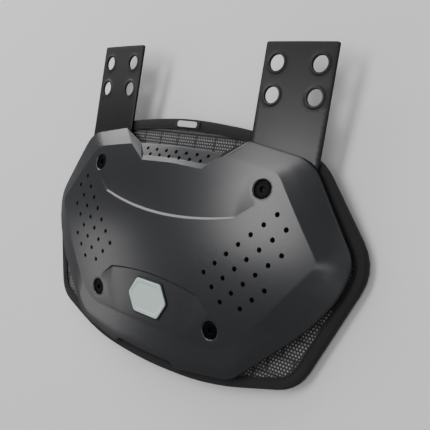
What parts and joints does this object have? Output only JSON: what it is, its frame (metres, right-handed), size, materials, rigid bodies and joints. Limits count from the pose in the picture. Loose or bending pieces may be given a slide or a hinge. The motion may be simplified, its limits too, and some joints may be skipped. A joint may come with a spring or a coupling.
{
  "type": "football back plate",
  "caption": "Domed hard back plate with vents and a stepped face on a bound mesh pad, with drilled straps to bolt it to shoulder pads.",
  "frame": {"origin": "on the floor, under the middle of the box of the plate as it lies on its pad", "axes": "+X across the back, +Y up it towards the strap tips, +Z up from the floor, out of the face"},
  "size_m": [0.294, 0.2264, 0.0313],
  "materials": {
    "shell_plastic": "satin charcoal, moulded",
    "strap_plastic": "satin dark grey sheet",
    "black_steel": "black oxide",
    "pad_mesh": "dark grey spacer mesh over foam",
    "binding_tape": "black knitted tape",
    "badge_rubber": "matt pale green",
    "label_tape": "woven, blank"
  },
  "bodies": {
    "root": {"shell": "shell_plastic", "strap_right": "strap_plastic", "strap_left": "strap_plastic", "screw_upper_right": "black_steel", "screw_upper_left": "black_steel", "screw_lower_right": "black_steel", "screw_lower_left": "black_steel", "pad": "pad_mesh", "binding": "binding_tape", "badge": "badge_rubber", "label": "label_tape"}
  },
  "joints": []
}
